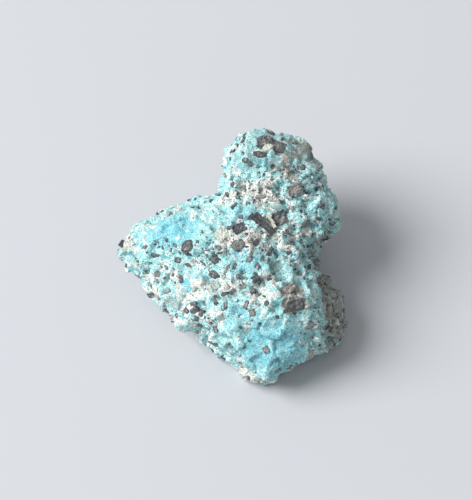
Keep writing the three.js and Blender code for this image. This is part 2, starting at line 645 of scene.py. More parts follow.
HOLLOWS = (
    Hollow((0.8, -10.1, 10.5), 1.2, 0.5),
    Hollow((5.5, -4.3, 12.7), 1.3, 1.1),
    Hollow((8.4, -4.6, 11.8), 0.9, 0.6),
    Hollow((6.3, -5.8, 12.4), 0.9, 0.5),
    Hollow((8.8, -7.0, 11.6), 1.1, 0.5),
    Hollow((5.6, 9.0, 17.0), 0.8, 0.4),
    Hollow((-3.4, -10.6, 7.4), 0.7, 0.35),
    Hollow((9.6, -2.2, 11.2), 1.3, 0.7),
    Hollow((7.2, -2.6, 12.4), 1.1, 0.5),
    Hollow((2.2, -12.4, 8.8), 0.9, 0.4),
    Hollow((6.6, -12.2, 9.0), 0.8, 0.35),
)


# ---------------------------------------------------------------------------------------------
# The skin of the stone
# ---------------------------------------------------------------------------------------------


@dataclass(frozen=True)
class Traits:
    """What the stone's colours follow from point to point: what the skin stores, and noises round 0."""

    place: Socket
    relief: Socket
    clean: Socket
    pepper: Socket
    broad: Socket
    ragged: Socket
    patchy: Socket
    fine: Socket
    dust: Socket

    @classmethod
    def read(cls, s: Shader) -> "Traits":
        """Adds the nodes that give the traits.

        Args:
            s: The shader that the nodes go in.

        Returns:
            The traits.
        """
        place = s.stored("rest", "Vector")
        return cls(
            place=place,
            relief=s.stored("relief"),
            clean=s.stored(Ground.CLEAN.value),
            pepper=s.stored(Ground.PEPPER.value),
            broad=s.noise(place, 2.4, 3.0, 0.6) - 0.5,
            ragged=s.noise(place, 0.95, 3.0, 0.6) - 0.5,
            patchy=s.noise(place + (9.1, 4.7, 2.3), 0.55, 3.0, 0.6) - 0.5,
            fine=s.noise(place, 0.24, 3.0, 0.65) - 0.5,
            dust=s.noise(place + (1.9, 8.3, 6.1), 0.13, 2.0, 0.6) - 0.5,
        )


@dataclass(frozen=True)
class Specks:
    """Small specks of one colour in the rock."""

    colour: Triple
    shift: Triple  # keeps these specks apart from others of their kind
    size: float  # how far apart neighbouring specks could be
    crowd: float  # which share of the possible specks is there
    on_pepper: float  # how much larger that share is on peppered rock
    on_clean: float  # how much smaller it is on clean rock
    cover: float = 0.9  # how far a speck hides the rock under it

    def strewn(self, s: Shader, here: Traits, rock: Socket) -> Socket:
        """Strews the specks over a colour.

        Args:
            s: The shader that the nodes go in.
            here: The traits at each point.
            rock: The colour without the specks.

        Returns:
            The colour with the specks.
        """
        cells = s.cells(s.drift(here.place + self.shift, size=0.5, reach=0.12), self.size)
        crowd = self.crowd + here.pepper * self.on_pepper - here.clean * self.on_clean
        present = (crowd - cells["Color"].part("X")).step(0.0, 0.02)
        reach = 0.26 + cells["Color"].part("Y") * 0.3
        spot = (reach - cells["Distance"]).step(0.0, 0.12)
        return s.mix(present * spot * self.cover, rock, self.colour)


@dataclass(frozen=True)
class TurquoiseFinish:
    """Chalky turquoise that runs into cream host rock and brown-stained rock, with fine dark specks, painted
    shade in dips and pits and painted highlight on rises.
    """

    white: Triple = (0.74, 0.88, 0.86)
    pale: Triple = (0.43, 0.73, 0.73)
    middle: Triple = (0.27, 0.61, 0.65)
    deep: Triple = (0.13, 0.43, 0.50)
    azure: Triple = (0.20, 0.60, 0.73)
    cream: Triple = (0.66, 0.66, 0.60)
    chalk: Triple = (0.81, 0.83, 0.80)
    buff: Triple = (0.46, 0.455, 0.40)
    # Also the colour that the painted shade in dips and hollows darkens towards.
    umber: Triple = (0.14, 0.14, 0.14)
    moss: Triple = (0.32, 0.355, 0.34)
    soot: Triple = (0.10, 0.10, 0.105)
    shine: float = 0.35
    bump_depth: float = 0.13

    def material(self) -> bpy.types.Material:
        """Builds the material.

        Returns:
            The material, which follows what the skin stores at its vertices.
        """
        s = Shader("raw_turquoise")
        here = Traits.read(s)
        edge = here.broad * 1.3 + here.ragged * 1.4 + here.patchy * 0.8
        host_share = (0.335 + s.stored(Ground.HOST.value) * 0.26 - here.clean * 0.2 + edge).step(0.36, 0.64)
        stain_share = (s.stored(Ground.STAIN.value) * 0.62 + 0.06 + edge).step(0.42, 0.64)
        rock = s.mix(host_share, self.turquoise(s, here), self.host(s, here))
        rock = s.mix(stain_share, rock, self.stained(s, here))
        for specks in self.specks():
            rock = specks.strewn(s, here, rock)
        # Painted shade: the lowest spots of the relief and the deeper hollows are darkened towards umber,
        # where shade falls.
        hollow_shade = (-0.15 - here.relief).step(0.0, 0.8) * 0.35 + s.stored("pit").step(0.4, 1.1) * 0.45
        # Fine brightness mottle from the same noises as the bump height: partly random tone, partly painted
        # micro-shade, lighter on the bump tops and darker in their dips. It is halved on stained rock.
        grain = (here.fine * 0.9 + here.dust * 2.3) * (1.0 - stain_share * 0.5)
        height = here.fine * 0.9 + here.dust * 0.9 + 0.5
        return s.finish(
            {
                "Base Color": s.mix(hollow_shade, rock, self.umber) * (1.0 + grain),
                "Roughness": 0.7 + here.fine * 0.4,
                "Specular IOR Level": self.shine,
                "Normal": s.bumped(height, 1.0, self.bump_depth),
            }
        )

    def specks(self) -> tuple[Specks, ...]:
        """The pale and the dark specks in the rock.

        Returns:
            Each kind of specks, in the order in which they are strewn.
        """
        return (
            Specks(self.chalk, (2.7, 6.1, 3.9), size=0.36, crowd=0.03, on_pepper=0.12, on_clean=0.06),
            Specks(self.soot, (0.0, 0.0, 0.0), size=0.42, crowd=0.07, on_pepper=0.3, on_clean=0.07),
            Specks(self.soot, (5.3, 2.9, 7.7), size=0.27, crowd=0.06, on_pepper=0.22, on_clean=0.05),
        )

    def turquoise(self, s: Shader, here: Traits) -> Socket:
        """The colour of the turquoise, which is livelier where it is clean, painted paler on rises and darker
        in dips.

        Args:
            s: The shader that the nodes go in.
            here: The traits at each point.

        Returns:
            The colour.
        """
        mottle = here.ragged * 0.5 + here.patchy * 0.7 + here.fine * 1.1 + here.dust * 0.4
        # The mottle is the rock's own tone; the relief term is painted highlight on raised points and painted
        # shade in low ones.
        shade = mottle + here.relief * 0.4 - here.clean * 0.08 + 0.57
        dull = s.ramp(shade, [(0.0, self.deep), (0.34, self.middle), (0.62, self.pale), (0.9, self.white)])
        lively = s.ramp(shade, [(0.0, self.deep), (0.45, self.azure), (0.75, self.middle), (1.0, self.pale)])
        return s.mix(here.clean * 0.65, dull, lively)

    def host(self, s: Shader, here: Traits) -> Socket:
        """The colour of the cream host rock, painted paler on rises and darker in dips.

        Args:
            s: The shader that the nodes go in.
            here: The traits at each point.

        Returns:
            The colour.
        """
        mottle = here.ragged + here.fine * 1.4 + here.dust * 0.6
        # The mottle is the rock's own tone; the relief term is painted highlight on raised points and painted
        # shade in low ones.
        host_tone_and_shade = mottle + here.relief * 0.4 + 0.58
        return s.ramp(host_tone_and_shade, [(0.1, self.umber), (0.28, self.buff), (0.48, self.cream), (0.72, self.chalk)])

    def stained(self, s: Shader, here: Traits) -> Socket:
        """The colour of the host rock where it is stained brown and grey-green, painted paler on rises and
        darker in dips.

        Args:
            s: The shader that the nodes go in.
            here: The traits at each point.

        Returns:
            The colour.
        """
        mottle = here.ragged + here.patchy * 1.2 + here.fine * 0.8 + here.dust * 0.4
        # The mottle is the rock's own tone; the relief term is painted highlight on raised points and painted
        # shade in low ones.
        stain_tone_and_shade = mottle + here.relief * 0.4 + 0.46
        return s.ramp(stain_tone_and_shade, [(0.15, self.umber), (0.4, self.moss), (0.62, self.buff), (0.85, self.cream)])


@dataclass
class Skin:
    """The stone's whole surface, drawn finely over its form, then chipped and crumbled."""

    voxel: float = 0.19
    smoothing: int = 14
    chip_size: float = 2.3
    chip_tilt: float = 0.5
    lowest_chip: float = -0.7
    highest_chip: float = 0.45
    flake_size: float = 1.1
    flake_tilt: float = 0.25
    highest_flake: float = 0.2
    crumb_size: float = 0.62
    crumb_height: float = 0.05
    grit_size: float = 0.3
    grit_height: float = 0.05
    uneven_size: float = 1.3
    uneven_height: float = 0.22
    set_back: float = 0.14  # how far the whole skin is drawn in, so that its crumbs keep the stone's size
    unwrap_angle: float = 1.15  # radians
    unwrap_margin: float = 0.002
    host_below: float = 0.75  # how far the faces that look down are host rock
    host_at_foot: float = 0.7  # how far the lowest few millimetres are host rock
    grainy_anywhere: float = 0.35
    mesh: bpy.types.Mesh = field(init=False)

    def build(self, material: bpy.types.Material) -> None:
        """Makes the crumbled surface.

        Args:
            material: What the skin wears.
        """
        base = self.smooth_form()
        self.swell(base.data)
        self.map_grounds(base.data)
        tree = self.weathering(material)
        self.mesh = tree.grow(base)
        self.mesh.materials.clear()
        self.mesh.materials.append(material)
        bpy.data.objects.remove(base)

    def smooth_form(self) -> bpy.types.Object:
        """Draws the stone's form with small even faces and a plain map for baking.

        Returns:
            The form as an object.
        """
        form = linked("form", merged_node_mesh(STONE_NODE))
        remesh = form.modifiers.new("even_faces", "REMESH")
        remesh.mode = "VOXEL"
        remesh.voxel_size = self.voxel * MM
        soften = form.modifiers.new("worn", "SMOOTH")
        soften.iterations = self.smoothing
        form.data = settled_mesh(form)
        form.modifiers.clear()
        bpy.context.view_layer.objects.active = form
        form.select_set(True)
        form.data.uv_layers.new(name="OFBake")
        bpy.ops.object.mode_set(mode="EDIT")
        bpy.ops.mesh.select_all(action="SELECT")
        bpy.ops.uv.smart_project(
            angle_limit=self.unwrap_angle, island_margin=self.unwrap_margin, scale_to_bounds=True
        )
        bpy.ops.object.mode_set(mode="OBJECT")
        return form

    def swell(self, mesh: bpy.types.Mesh) -> None:
        """Raises and dents the form where the stone is a little fuller or slimmer.

        Args:
            mesh: The form, which is changed.
        """
        places = places_of(mesh)
        lift = sum(swell.lift(places) for swell in SWELLS)
        set_places(mesh, places + facings_of(mesh) * lift[:, None])

    def map_grounds(self, mesh: bpy.types.Mesh) -> None:
        """Stores where each vertex rested and how far it is of each ground.

        Args:
            mesh: The form, which gets the stored numbers.
        """
        places = places_of(mesh)
        facings = facings_of(mesh)
        store_numbers(mesh, "rest", places)
        for ground in Ground:
            fields = [patch.field(places) for patch in PATCHES if patch.ground is ground]
            share = np.max(fields, axis=0)
            if ground is Ground.HOST:
                below = smoothstep(0.1, 0.75, -facings[:, 2]) * self.host_below
                foot = (1.0 - smoothstep(0.8, 2.6, places[:, 2])) * self.host_at_foot
                share = np.maximum(share, np.maximum(below, foot))
            elif ground is Ground.GRAINY:
                share = np.maximum(share, self.grainy_anywhere)
            store_numbers(mesh, ground.value, share)

    def weathering(self, material: bpy.types.Material) -> GeometryTree:
        """The tree that breaks the smooth form into chips, flakes, crumbs and grit.

        Args:
            material: What the skin wears.

        Returns:
            The tree.
        """
        t = GeometryTree(
            "weathered_skin",
            {
                "Chip Size": self.chip_size,
                "Chip Tilt": self.chip_tilt,
                "Flake Size": self.flake_size,
                "Flake Tilt": self.flake_tilt,
                "Crumb Size": self.crumb_size,
                "Crumb Height": self.crumb_height,
                "Grit Size": self.grit_size,
                "Grit Height": self.grit_height,
                "Material": material,
            },
        )
        place = t.stored("rest", "FLOAT_VECTOR")
        clean = t.stored(Ground.CLEAN.value)
        loose = t.drift(place, 1.5, 0.6)
        calm = 1.0 - clean.least(1.0) * 0.5

        chips = self.facets(t, loose, t.inputs["Chip Size"], t.inputs["Chip Tilt"], 0.22)
        chips = chips.most(self.lowest_chip).least(self.highest_chip)
        shifted = loose + (3.7, 1.3, 5.1)
        flakes = self.facets(t, shifted, t.inputs["Flake Size"], t.inputs["Flake Tilt"], 0.2)
        flakes = flakes.least(self.highest_flake)
        cells = self.sized_cells(t, t.drift(place, 0.7, 0.14), t.inputs["Crumb Size"], 0.15)
        crumbs = (0.42 - cells["Distance"]) * t.inputs["Crumb Height"]
        grit_ports = {"Vector": place / t.inputs["Grit Size"], "Scale": 1.0, "Detail": 2.0}
        grit = (t.node("ShaderNodeTexNoise", ports=grit_ports)[0] - 0.5) * t.inputs["Grit Height"]
        uneven = (t.noise(place, self.uneven_size, 3.0, 0.55) - 0.5) * self.uneven_height

        relief = flakes * 0.8 * calm + (crumbs + grit) * calm + uneven * calm
        height = chips * (1.0 - clean * 0.35) + relief - self.set_back
        # The relief is stored for the stone's material, which paints the rises paler and the dips darker with
        # it.
        geometry = t.store(t.inputs["Geometry"], "relief", (relief * 3.2).most(-1.0).least(1.0))
        normal = t.node("GeometryNodeInputNormal")[0]
        t.close(t.moved(geometry, normal * (height * MM)))
        return t

    @staticmethod
    def sized_cells(tree: GeometryTree, place: Socket, size: Socket, soft: float) -> Made:
        """Irregular cells whose size is one of the tree's inputs, with soft walls between them."""
        ports = {"Vector": place / size, "Scale": 1.0, "Smoothness": soft}
        return tree.node("ShaderNodeTexVoronoi", {"feature": "SMOOTH_F1"}, ports)

    def facets(self, tree: GeometryTree, place: Socket, size: Socket, tilt: Socket, soft: float) -> Socket:
        """The height of small flat facets, each tilted its own way about the middle of its cell.

        Args:
            tree: The tree that the nodes go in.
            place: Where each point is.
            size: How far apart the facets are.
            tilt: How steeply they lean.
            soft: How far neighbouring facets run into each other, from 0 to 1.

        Returns:
            The height in millimetres.
        """
        cells = self.sized_cells(tree, place, size, soft)
        lean = cells["Color"] - 0.5
        inside = place / size - cells["Position"]
        return inside.dot(lean) * size * tilt * 2.0


def merged_node_mesh(node: str) -> bpy.types.Mesh:
    """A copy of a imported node's mesh with its doubled vertices merged.

    Args:
        node: The node's name.

    Returns:
        The copy, whose faces share their vertices.
    """
    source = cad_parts[node].data
    places = places_of(source)
    corners = np.empty(len(source.loops), np.int32)
    source.loops.foreach_get("vertex_index", corners)
    _, first, merged = np.unique(np.round(places, 4), axis=0, return_index=True, return_inverse=True)
    faces = merged.reshape(-1)[corners].reshape(-1, 3)
    copy = bpy.data.meshes.new(node + "_form")
    copy.from_pydata((places[first] * MM).tolist(), [], faces.tolist())
    copy.update()
    return copy


# ---------------------------------------------------------------------------------------------
# The grains set in the skin
# ---------------------------------------------------------------------------------------------


class Habit(Enum):
    """The shape that a grain grew to."""

    BLOCK = 0
    PRISM = 1
    LUMP = 2


HABITS = (Habit.BLOCK, Habit.BLOCK, Habit.BLOCK, Habit.PRISM, Habit.LUMP)  # how common each is


class Tint(Enum):
    """What a grain's stuff is, as a share along the colours of its finish."""

    BLACK = 0.12
    SMOKE = 0.4
    BROWN = 0.68
    OCHRE = 0.95


@dataclass(frozen=True)
class Grain:
    """One large grain at its own place on the skin."""

    name: str
    at: Triple
    half: Triple
    habit: Habit = Habit.BLOCK
    tint: Tint = Tint.SMOKE
    spin: float = 0.0
    tilt: float = 0.0
    proud: float = 0.12


DARK_GRAINS = (
    Grain("wing_knob", (-5.7, -0.3, 10.5), (1.1, 1.0, 0.7), Habit.LUMP, Tint.BLACK, 20, 0, 0.09),
    Grain("diamond", (-2.3, -2.7, 11.2), (0.65, 0.6, 0.5), Habit.BLOCK, Tint.BLACK, 45, 6, 0.07),
    Grain("long_blade", (3.8, 0.9, 13.5), (2.2, 0.42, 0.7), Habit.BLOCK, Tint.BLACK, -34, 0, 0.1),
    Grain("long_blade_2", (4.3, 1.5, 13.6), (1.9, 0.38, 0.7), Habit.BLOCK, Tint.SMOKE, -33, 0, 0.06),
    Grain("broad_end", (5.7, 1.9, 13.6), (1.25, 1.0, 0.7), Habit.BLOCK, Tint.SMOKE, 22, 4, 0.08),
    Grain("left_mass", (0.8, 0.3, 13.5), (0.95, 0.8, 0.6), Habit.BLOCK, Tint.BLACK, 25, 6, 0.07),
    Grain("left_mass_2", (-0.2, 0.7, 13.5), (0.6, 0.35, 0.5), Habit.LUMP, Tint.BLACK, -30, 0, 0.07),
    Grain("low_mass", (0.6, -1.9, 13.2), (1.1, 0.85, 0.6), Habit.LUMP, Tint.SMOKE, 12, 0, 0.06),
    Grain("quartz_cap", (-2.7, -4.9, 10.4), (0.95, 0.65, 0.6), Habit.LUMP, Tint.BLACK, 10, 0, 0.09),
    Grain("crown_dark", (4.4, 11.7, 17.4), (1.3, 1.0, 0.6), Habit.LUMP, Tint.SMOKE, 30, 0, 0.06),
    Grain("crown_dark_2", (6.0, 11.2, 17.2), (1.0, 0.9, 0.6), Habit.BLOCK, Tint.SMOKE, -20, 0, 0.06),
    Grain("crown_bar", (3.6, 9.9, 17.1), (1.1, 0.5, 0.5), Habit.LUMP, Tint.BLACK, -12, 10, 0.05),
    Grain("brown_block", (8.0, 4.8, 15.7), (1.05, 0.85, 0.6), Habit.BLOCK, Tint.BROWN, 18, 6, 0.28),
    Grain("nest_heart", (-4.9, -8.2, 7.9), (0.65, 0.5, 0.5), Habit.LUMP, Tint.BLACK, 35, 10, 0.07),
    Grain("nest_right", (-4.0, -8.7, 7.8), (0.5, 0.3, 0.4), Habit.BLOCK, Tint.BLACK, 60, 14, 0.07),
    Grain("nest_left", (-5.8, -8.0, 7.5), (0.45, 0.3, 0.4), Habit.BLOCK, Tint.BLACK, -50, 10, 0.07),
    Grain("nest_above", (-4.8, -7.3, 8.3), (0.45, 0.25, 0.4), Habit.BLOCK, Tint.BLACK, 10, 8, 0.07),
    Grain("nest_below", (-4.7, -9.2, 7.3), (0.4, 0.3, 0.4), Habit.BLOCK, Tint.SMOKE, 80, 8, 0.07),
    Grain("stain_block", (8.0, -9.9, 11.5), (1.25, 0.8, 0.6), Habit.BLOCK, Tint.SMOKE, 8, 4, 0.05),
    Grain("stain_block_2", (7.0, -7.9, 11.9), (1.0, 0.75, 0.6), Habit.BLOCK, Tint.BROWN, 50, 0, 0.03),
    Grain("olive", (4.2, -13.8, 7.5), (0.4, 0.5, 0.4), Habit.BLOCK, Tint.BROWN, 30, 20, 0.09),
    Grain("ring", (1.9, -4.0, 13.0), (0.5, 0.45, 0.4), Habit.LUMP, Tint.SMOKE, 0, 0, 0.05),
    Grain("band_1", (1.0, -6.0, 12.3), (0.4, 0.35, 0.35), Habit.LUMP, Tint.SMOKE, 0, 0, 0.05),
    Grain("band_2", (2.8, -6.0, 12.8), (0.55, 0.4, 0.35), Habit.BLOCK, Tint.BLACK, 40, 0, 0.05),
    Grain("band_3", (2.4, -8.2, 12.0), (0.45, 0.4, 0.35), Habit.LUMP, Tint.BLACK, 0, 0, 0.05),
    Grain("band_4", (2.6, -10.4, 10.6), (0.45, 0.5, 0.4), Habit.BLOCK, Tint.SMOKE, 15, 0, 0.07),
    Grain("band_5", (4.4, -9.6, 11.4), (0.4, 0.4, 0.35), Habit.LUMP, Tint.BLACK, 0, 0, 0.05),
    Grain("front_dark", (-2.2, -11.0, 7.4), (0.4, 0.5, 0.35), Habit.BLOCK, Tint.SMOKE, 20, 0, 0.07),
    Grain("wing_end", (-14.5, 3.6, 6.0), (0.5, 0.3, 0.4), Habit.BLOCK, Tint.BLACK, 60, 0, 0.1),
    Grain("wing_end_2", (-14.6, 2.7, 5.0), (0.5, 0.35, 0.4), Habit.BLOCK, Tint.BLACK, 90, 0, 0.1),
    Grain("cheek_1", (9.4, 1.4, 13.2), (0.6, 0.45, 0.4), Habit.LUMP, Tint.SMOKE, 30, 0, 0.05),
    Grain("cheek_2", (11.3, 3.4, 14.2), (0.45, 0.5, 0.4), Habit.LUMP, Tint.BLACK, 0, 0, 0.05),
    Grain("crown_left", (1.7, 9.2, 16.5), (0.45, 0.4, 0.35), Habit.LUMP, Tint.SMOKE, 20, 0, 0.05),
    Grain("crown_left_2", (2.4, 8.2, 16.5), (0.35, 0.3, 0.3), Habit.BLOCK, Tint.SMOKE, 50, 0, 0.05),
)

QUARTZ_GRAINS = (
    Grain("glassy", (-1.2, -0.3, 13.3), (1.0, 0.95, 0.6), Habit.BLOCK, Tint.BROWN, 35, 4, 0.2),
    Grain("under_cap", (-2.5, -6.0, 9.8), (1.1, 1.15, 0.7), Habit.LUMP, Tint.SMOKE, 10, 0, 0.25),
    Grain("glint_1", (4.9, 1.7, 13.7), (0.75, 0.2, 0.3), Habit.BLOCK, Tint.OCHRE, -52, 0, 0.36),
    Grain("glint_2", (5.3, 1.2, 13.6), (0.5, 0.18, 0.3), Habit.BLOCK, Tint.OCHRE, -62, 0, 0.34),
    Grain("glint_3", (4.6, 2.4, 13.7), (0.4, 0.22, 0.3), Habit.BLOCK, Tint.OCHRE, 10, 0, 0.34),
    Grain("crown_bit", (4.5, 10.5, 17.3), (0.8, 0.55, 0.5), Habit.LUMP, Tint.BROWN, 14, 0, 0.3),
    Grain("stain_bit", (8.5, -8.5, 11.5), (0.5, 0.4, 0.4), Habit.LUMP, Tint.OCHRE, 0, 0, 0.1),
    Grain("teal_face", (-7.5, -6.5, 6.6), (0.9, 0.6, 0.3), Habit.BLOCK, Tint.BLACK, -20, 0, 0.05),
)


@dataclass
class Seats:
    """Where many grains sit: their middles, turns, half-sizes, habits and tints."""

    places: list[np.ndarray] = field(default_factory=list)
    turns: list[np.ndarray] = field(default_factory=list)
    halves: list[np.ndarray] = field(default_factory=list)
    habits: list[int] = field(default_factory=list)
    tints: list[float] = field(default_factory=list)

    def add(self, grain: Grain, skin_place: np.ndarray, facing: np.ndarray) -> None:
        """Sets a grain into the skin, so that only its top stands proud.

        Args:
            grain: The grain, with its sizes and its turn about the skin's facing.
            skin_place: The point of the skin that it sits at.
            facing: The skin's outward direction there.
        """
        up = Vector(facing)
        right = (Vector((1.0, 0.0, 0.0)) - up * up.x).normalized()
        lie = Matrix((right, up.cross(right), up)).transposed()
        spin = Matrix.Rotation(math.radians(grain.spin), 3, "Z")
        tilt = Matrix.Rotation(math.radians(grain.tilt), 3, "X")
        turn = lie @ spin @ tilt
        self.places.append(skin_place + facing * (grain.proud - grain.half[2]))
        self.turns.append(np.array(turn.to_euler()))
        self.halves.append(np.array(grain.half))
        self.habits.append(grain.habit.value)
        self.tints.append(grain.tint.value)

    def joined(self, other: "Seats") -> "Seats":
        """These seats followed by some others.

        Args:
            other: The seats that follow.

        Returns:
            All of them.
        """
        return Seats(
            self.places + other.places,
            self.turns + other.turns,
            self.halves + other.halves,
            self.habits + other.habits,
            self.tints + other.tints,
        )

    def mesh(self, name: str) -> bpy.types.Mesh:
        """The seats as loose vertices that store what sits at them.

        Args:
            name: What the mesh is called.

        Returns:
            The mesh.
        """
        mesh = bpy.data.meshes.new(name)
        mesh.from_pydata((np.array(self.places) * MM).tolist(), [], [])
        store_numbers(mesh, "turn", np.array(self.turns))
        store_numbers(mesh, "half", np.array(self.halves) * MM)
        store_numbers(mesh, "habit", np.array(self.habits, dtype=int))
        store_numbers(mesh, "tint", np.array(self.tints))
        return mesh


@dataclass(frozen=True)
class GrainFinish:
    """Crystal grains of one family: dull faces mottled between the family's colours, with dark edges."""

    name: str
    colours: tuple[Triple, ...]  # from the darkest tint to the palest
    roughness: float
    mottle: float
    edge: float  # how much darker a grain's edge is, as a share along the colours

    def material(self) -> bpy.types.Material:
        """Builds the material.

        Returns:
            The material, which follows what the grains store.
        """
        s = Shader(self.name)
        place = s.node("ShaderNodeTexCoord")["Object"] / MM
        cloud = s.noise(place, 0.4, 2.0, 0.6) - 0.5
        fine = s.noise(place + (3.1, 7.3, 1.7), 0.2, 2.0, 0.6) - 0.5
        rim = s.stored("core").step(0.45, 1.1)
        tint = s.stored("tint")
        facet = s.stored("facet") - 0.5
        mottle = (cloud * 1.3 + fine * 1.1 + facet * 0.32) * (1.0 - tint) ** 1.5 * (1.1 * self.mottle)
        share = tint + mottle - rim * self.edge
        step = 1.0 / (len(self.colours) - 1)
        colour = s.ramp(share, [(i * step, c) for i, c in enumerate(self.colours)])
        return s.finish(
            {
                "Base Color": colour,
                "Roughness": self.roughness + cloud * 0.4,
                "Normal": s.bumped(fine + 0.5, 0.7, 0.08),
            }
        )


DARK_FINISH = GrainFinish(
    "dark_grain",
    ((0.07, 0.074, 0.085), (0.16, 0.17, 0.17), (0.35, 0.33, 0.29), (0.72, 0.72, 0.66)),
    roughness=0.5,
    mottle=1.6,
    edge=0.34,
)
QUARTZ_FINISH = GrainFinish(
    "quartz_grain",
    ((0.30, 0.42, 0.42), (0.47, 0.52, 0.475), (0.82, 0.79, 0.66)),
    roughness=0.4,
    mottle=0.6,
    edge=0.2,
)


@dataclass
class Neighbours:
    """Grains that others keep clear of, sorted into cubes so that the near ones are found quickly."""

    cube_size: float = 2.0
    places: list[np.ndarray] = field(default_factory=list)
    radii: list[float] = field(default_factory=list)
    cubes: dict[tuple[int, ...], list[int]] = field(default_factory=dict)

    def cube_of(self, place: np.ndarray) -> tuple[int, ...]:
        """The cube that a place is in."""
        return tuple((place // self.cube_size).astype(int))

    def add(self, place: np.ndarray, radius: float) -> None:
        """Takes in one more grain.

        Args:
            place: Where it is.
            radius: How large it is.
        """
        self.cubes.setdefault(self.cube_of(place), []).append(len(self.places))
        self.places.append(place)
        self.radii.append(radius)

    def too_near(self, place: np.ndarray, radius: float, spacing: float) -> bool:
        """Whether a new grain would come too near to one that is already there.

        Args:
            place: Where the new grain would be.
            radius: How large it would be.
            spacing: The gap that there has to be between two grains.

        Returns:
            True if the gap to any of them is smaller.
        """
        x, y, z = self.cube_of(place)
        for dx, dy, dz in product((-1, 0, 1), repeat=3):
            for index in self.cubes.get((x + dx, y + dy, z + dz), ()):
                gap = np.linalg.norm(self.places[index] - place) - self.radii[index] - radius
                if gap < spacing:
                    return True
        return False


@dataclass(frozen=True)
class GrainCrowd:
    """Many small grains strewn over the skin, thickest where a ground says so and in random clusters."""

    count: int
    smallest: float
    largest: float
    spacing: float
    grounds: dict[Ground, float]  # how much thicker they lie on each ground
    bare: float  # how thick they lie elsewhere
    tints: tuple[Tint, ...] = (Tint.BLACK, Tint.BLACK, Tint.SMOKE, Tint.SMOKE, Tint.SMOKE, Tint.BROWN)
    rarity: float = 2.2  # how much rarer large grains are than small ones
    clusters: int = 90
    cluster_spread: float = 2.4  # square millimetres
    lowest: float = 0.6  # height over the resting face under which there are none
    tries: int = 3  # places tried for each grain

    def seats(self, skin: "Surface", taken: Seats, dice: np.random.Generator) -> Seats:
        """Picks where the grains sit.

        Args:
            skin: The surface that they sit on.
            taken: The grains that are already there.
            dice: The random numbers.

        Returns:
            The new grains' seats.
        """
        weight = self.thickness(skin) * self.clustered(skin, dice) * (skin.places[:, 2] > self.lowest)
        tried = dice.choice(len(weight), self.count * self.tries, replace=False, p=weight / weight.sum())
        near = Neighbours()
        for place, half in zip(taken.places, taken.halves):
            near.add(place, float(np.mean(half[:2])))
        made = Seats()
        for vertex in tried:
            if len(made.places) >= self.count:
                break
            radius = self.smallest + (self.largest - self.smallest) * dice.random() ** self.rarity
            place = skin.places[vertex]
            if near.too_near(place, radius, self.spacing):
                continue
            made.add(self.grain(place, radius, dice), place, skin.facings[vertex])
            near.add(place, radius)
        return made

    def grain(self, place: np.ndarray, radius: float, dice: np.random.Generator) -> Grain:
        """One grain with a random shape, tint and lie.

        Args:
            place: Where it sits.
            radius: How large it is.
            dice: The random numbers.

        Returns:
            The grain.
        """
        stretch = dice.uniform(0.55, 1.5)
        return Grain(
            name="",
            at=tuple(place),
            half=(radius * stretch, radius / stretch, radius * dice.uniform(0.6, 0.9)),
            habit=HABITS[int(dice.integers(0, len(HABITS)))],
            tint=self.tints[int(dice.integers(0, len(self.tints)))],
            spin=dice.uniform(0, 360),
            tilt=dice.normal(0, 16),
            proud=radius * dice.uniform(-0.18, 0.06),
        )

    def thickness(self, skin: "Surface") -> np.ndarray:
        """How thick the grains lie on the grounds at each vertex.

        Args:
            skin: The surface that they sit on.

        Returns:
            A number from 0 up for each vertex.
        """
        weight = np.full(len(skin.places), self.bare)
        for ground, share in self.grounds.items():
            weight = weight + share * skin.grounds[ground]
        return np.clip(weight, 0.0, None)

    def clustered(self, skin: "Surface", dice: np.random.Generator) -> np.ndarray:
        """How much thicker the grains lie near the middles of some random clusters.

        Args:
            skin: The surface that they sit on.
            dice: The random numbers.

        Returns:
            A factor for each vertex.
        """
        middles = skin.places[dice.choice(len(skin.places), self.clusters, replace=False)]
        squares = (np.sum((skin.places - middle) ** 2, axis=1) for middle in middles)
        near = sum(np.exp(-square / self.cluster_spread) for square in squares)
        return 0.35 + np.minimum(near, 1.5)


MEDIUM_GRAINS = GrainCrowd(
    count=500,
    smallest=0.16,
    largest=0.5,
    spacing=0.2,
    grounds={Ground.GRAINY: 1.5, Ground.HOST: 0.25, Ground.PEPPER: 0.5, Ground.CLEAN: -0.55},
    bare=0.14,
)
PEPPER_GRAINS = GrainCrowd(
    count=1500,
    smallest=0.07,
    largest=0.18,
    spacing=0.04,
    grounds={Ground.PEPPER: 3.0, Ground.HOST: 0.5, Ground.GRAINY: 0.7, Ground.CLEAN: -0.3},
    bare=0.12,
)
PALE_GRAINS = GrainCrowd(
    count=110,
    smallest=0.2,
    largest=0.55,
    spacing=0.2,
    grounds={Ground.HOST: 1.0, Ground.STAIN: 0.6, Ground.CLEAN: -0.6},
    bare=0.1,
    tints=(Tint.SMOKE, Tint.OCHRE),
)


# Three waves over the stone, in radians per millimetre, whose sum frays the outlines of the hollows.
RAGGED_WAVES = np.array([(7.1, 2.3, -3.9), (-3.1, 8.3, 4.7), (4.9, -5.3, 6.7)])


